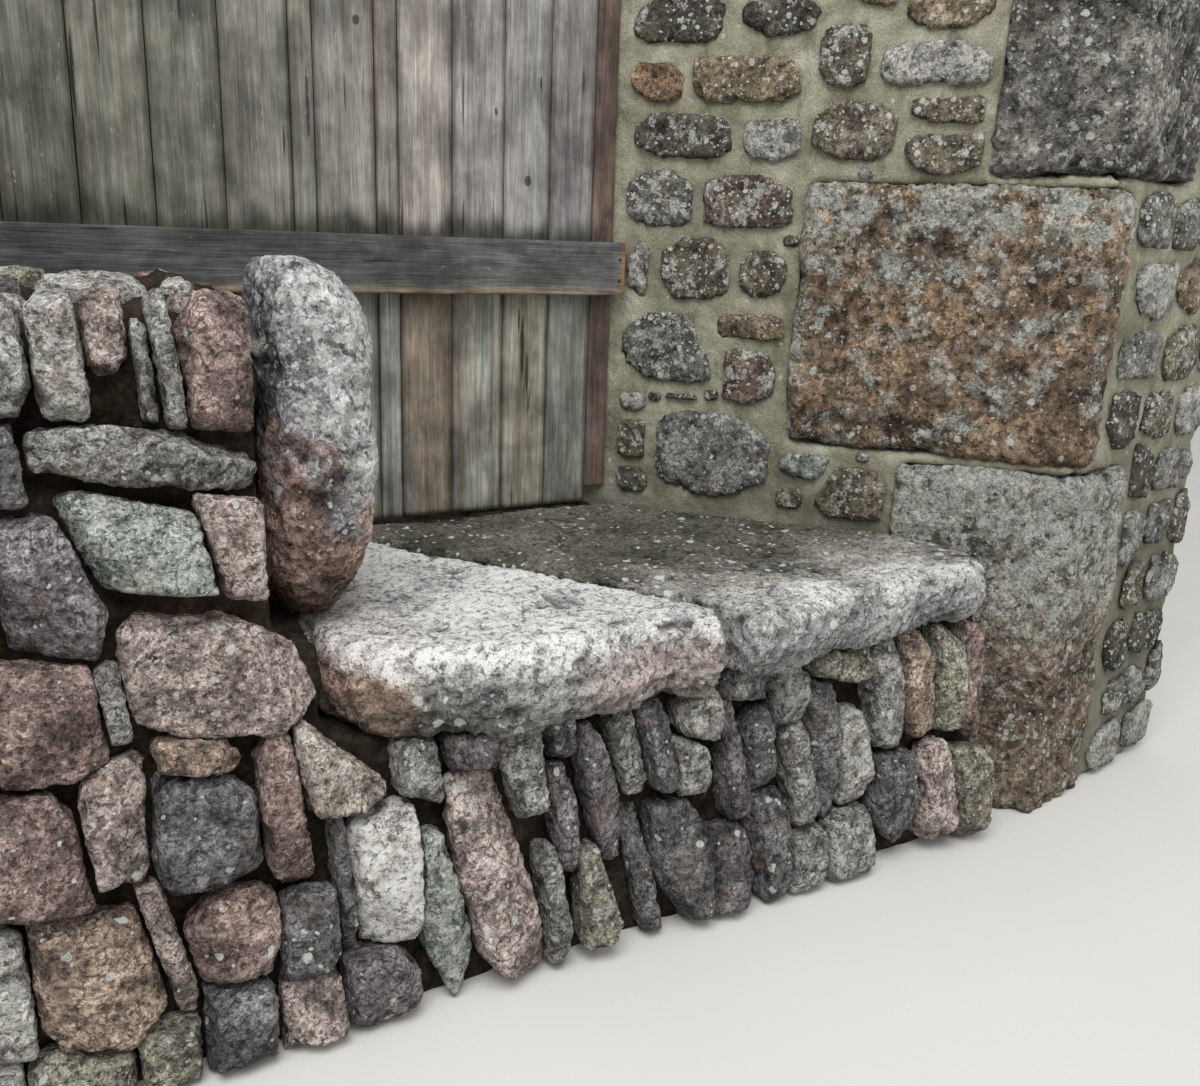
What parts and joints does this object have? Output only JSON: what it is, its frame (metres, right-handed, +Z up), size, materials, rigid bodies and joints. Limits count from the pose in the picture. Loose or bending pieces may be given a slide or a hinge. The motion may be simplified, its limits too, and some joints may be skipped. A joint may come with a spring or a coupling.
{
  "type": "stone stile landing",
  "caption": "Raised stone landing of two worn granite slabs between a dry-stone hedge, a closed boarded gate and the corner of a rubble house wall.",
  "frame": {"origin": "middle of the object's footprint, on the lowest ground", "axes": "+X to the right along the gate, +Y away from the lane, +Z up"},
  "size_m": [3.1932, 1.3002, 2.05],
  "materials": {
    "hedge_earth": "dark earth and small rubble",
    "hedge_stone": "rough lichened granite",
    "base_stone": "rough damp granite",
    "landing_rubble": "packed rubble and soil",
    "wall_mortar": "rough lime mortar",
    "wall_stone": "rough lichened rubble",
    "quoin_granite": "coarse weathered granite",
    "slab_granite": "pale worn granite",
    "boulder_granite": "lichened granite",
    "weathered_boards": "bare weathered boards",
    "dark_timber": "dark weathered timber"
  },
  "bodies": {
    "root": {"base_left_stones": "base_stone", "base_middle_stones": "base_stone", "base_quoin": "quoin_granite", "base_right_stones": "base_stone", "big_quoin": "quoin_granite", "end_boulder": "boulder_granite", "front_inner_stones": "wall_stone", "front_slab": "slab_granite", "front_wall_core": "wall_mortar", "front_wall_stones": "wall_stone", "gate_back_ledge_1": "dark_timber", "gate_back_ledge_2": "dark_timber", "gate_back_ledge_3": "dark_timber", "gate_boards": "weathered_boards", "gate_left_post": "dark_timber", "gate_rail": "dark_timber", "gate_sill": "landing_rubble", "gate_strip": "dark_timber", "hedge_back_stones": "hedge_stone", "hedge_core": "hedge_earth", "hedge_edge_stones": "hedge_stone", "hedge_end_stones": "hedge_stone", "hedge_left_stones": "hedge_stone", "hedge_lower_stones": "hedge_stone", "hedge_middle_stones": "hedge_stone", "hedge_upper_stones": "hedge_stone", "landing_core": "landing_rubble", "right_slab": "slab_granite", "side_inner_stones": "wall_stone", "side_wall_core": "wall_mortar", "upper_quoin": "quoin_granite", "wall_lower_stones": "wall_stone", "wall_middle_stones": "wall_stone", "wall_top_stones": "wall_stone", "wall_upper_stones": "wall_stone"}
  },
  "joints": []
}
